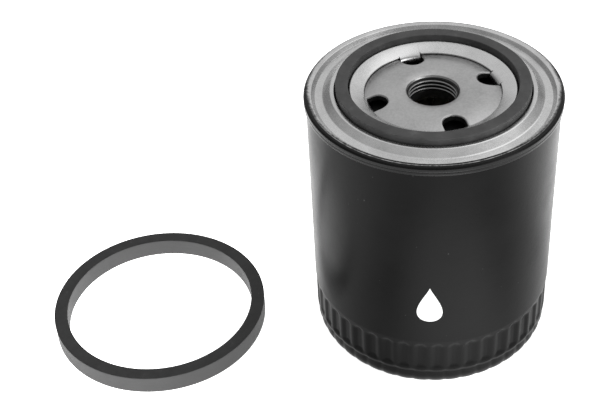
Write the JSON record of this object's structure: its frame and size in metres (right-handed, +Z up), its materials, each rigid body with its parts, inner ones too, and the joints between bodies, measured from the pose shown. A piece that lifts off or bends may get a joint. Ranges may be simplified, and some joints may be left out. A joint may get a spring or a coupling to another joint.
{
  "type": "spin-on oil filter",
  "caption": "Spin-on oil filter: fluted black can, rolled seam, threaded tapping plate in a zinc cover, square-cut seals and a sprung paper element inside.",
  "frame": {"origin": "centre of the can's closed end, on the surface it stands on", "axes": "+Z up the can's axis towards the threaded end; -X towards the loose seal"},
  "size_m": [0.2058, 0.1018, 0.114],
  "materials": {
    "black_paint": "black semi-gloss enamel over drawn steel, with a very fine orange peel",
    "zinc_plate": "dull zinc-plated sheet with a soft satin sheen",
    "bare_steel": "pressed steel, satin, lightly mottled",
    "seam_compound": "cured sealing compound",
    "seal_rubber": "matt nitrile rubber, lathe-cut",
    "loose_seal_rubber": "matt nitrile rubber, lathe-cut, faintly dusty",
    "valve_rubber": "moulded nitrile rubber",
    "tinplate": "thin tinned steel, satin",
    "potting_resin": "cured plastisol",
    "filter_paper": "resin-treated cellulose paper",
    "seat_brass": "turned brass",
    "spring_steel": "drawn spring wire, bright"
  },
  "bodies": {
    "canister": {"canister_shell": "black_paint", "cover_plate": "zinc_plate", "tapping_plate": "bare_steel", "seam_sealant": "seam_compound", "fitted_seal": "seal_rubber", "element_spring": "spring_steel"},
    "loose_seal": {"loose_outer_seal": "loose_seal_rubber"},
    "check_valve": {"anti_drain_valve": "valve_rubber"},
    "filter_element": {"neck_seal": "valve_rubber", "element_top_cap": "tinplate", "top_potting": "potting_resin", "pleated_media": "filter_paper", "media_seam_clip": "tinplate", "center_tube": "tinplate", "bottom_potting": "potting_resin", "element_bottom_cap": "tinplate", "bypass_seat": "seat_brass", "bypass_cage": "bare_steel", "bypass_spring": "spring_steel"},
    "bypass_valve": {"bypass_poppet": "bare_steel", "bypass_disc_seal": "valve_rubber"}
  },
  "joints": [
    {"name": "loose_seal_lift", "type": "slide", "parent": "canister", "child": "loose_seal", "axis": [0, 0, 1], "range_m": [0, 0.13]},
    {"name": "check_valve_lip", "type": "slide", "parent": "canister", "child": "check_valve", "axis": [0, 0, 1], "range_m": [-0.0012, 0], "stiffness_N_per_m": 800, "springref_m": 0.0015},
    {"name": "element_float", "type": "slide", "parent": "canister", "child": "filter_element", "axis": [0, 0, 1], "range_m": [-0.002, 0], "stiffness_N_per_m": 5000, "springref_m": 0.012, "deforming": ["element_spring"]},
    {"name": "bypass_lift", "type": "slide", "parent": "filter_element", "child": "bypass_valve", "axis": [0, 0, 1], "range_m": [0, 0.004], "stiffness_N_per_m": 2000, "springref_m": -0.007, "deforming": ["bypass_spring"]}
  ]
}
